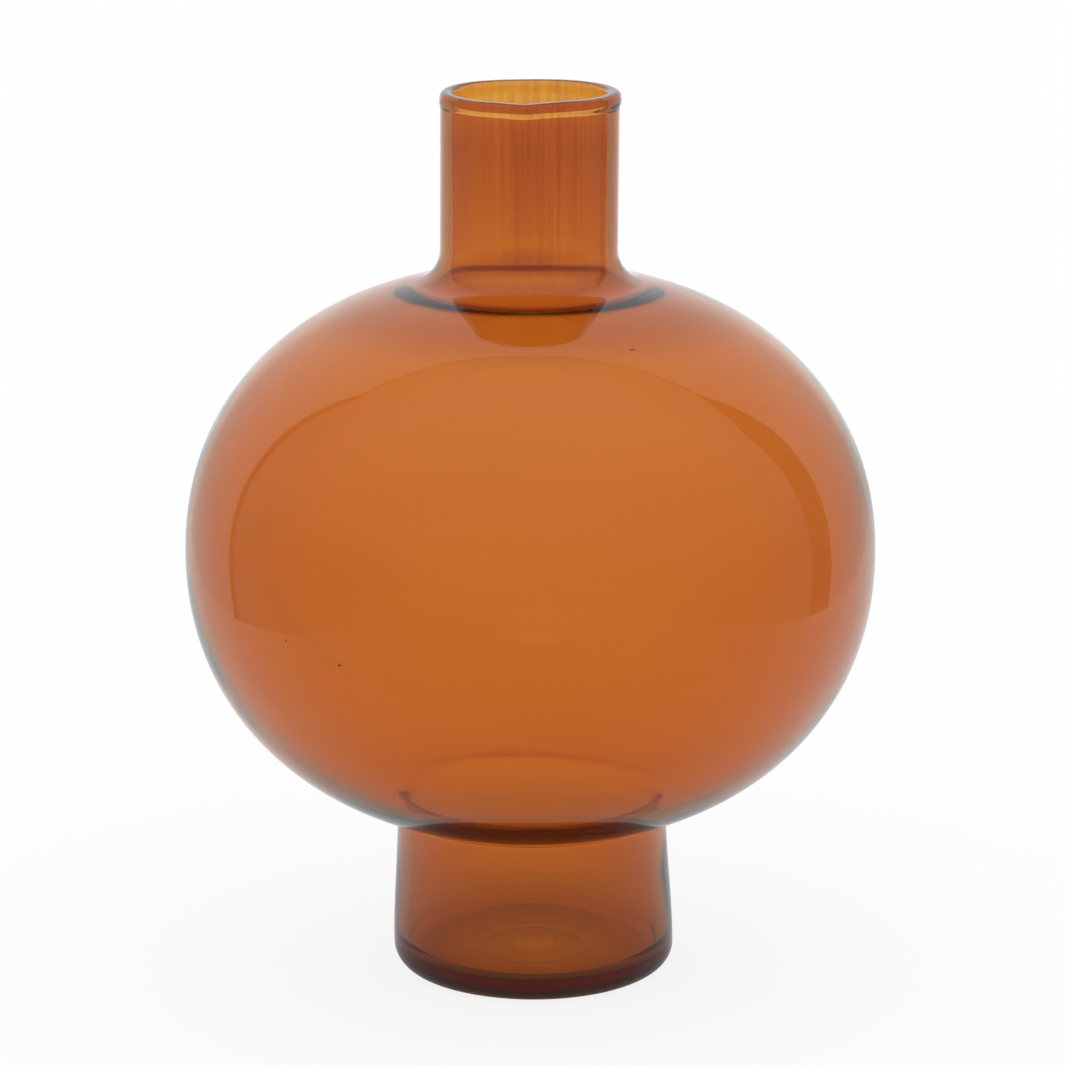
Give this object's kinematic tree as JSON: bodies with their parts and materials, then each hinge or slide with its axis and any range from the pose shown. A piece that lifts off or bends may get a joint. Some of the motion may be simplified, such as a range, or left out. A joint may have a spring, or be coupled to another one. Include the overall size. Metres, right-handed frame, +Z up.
{
  "type": "vase",
  "caption": "Amber blown glass vase with a wide round globe between a straight narrow neck and a low round foot; holds water and cut flower stems.",
  "frame": {"origin": "middle of the flat ring that the vase stands on", "axes": "+Z up along the vase's axis, from the foot to the mouth; +X to the right of the pictured view"},
  "size_m": [0.155, 0.155, 0.2012],
  "materials": {
    "amber_glass": "fire-polished, clear amber"
  },
  "bodies": {
    "root": {"base": "amber_glass", "foot": "amber_glass", "globe": "amber_glass", "neck": "amber_glass", "lip": "amber_glass"}
  },
  "joints": []
}
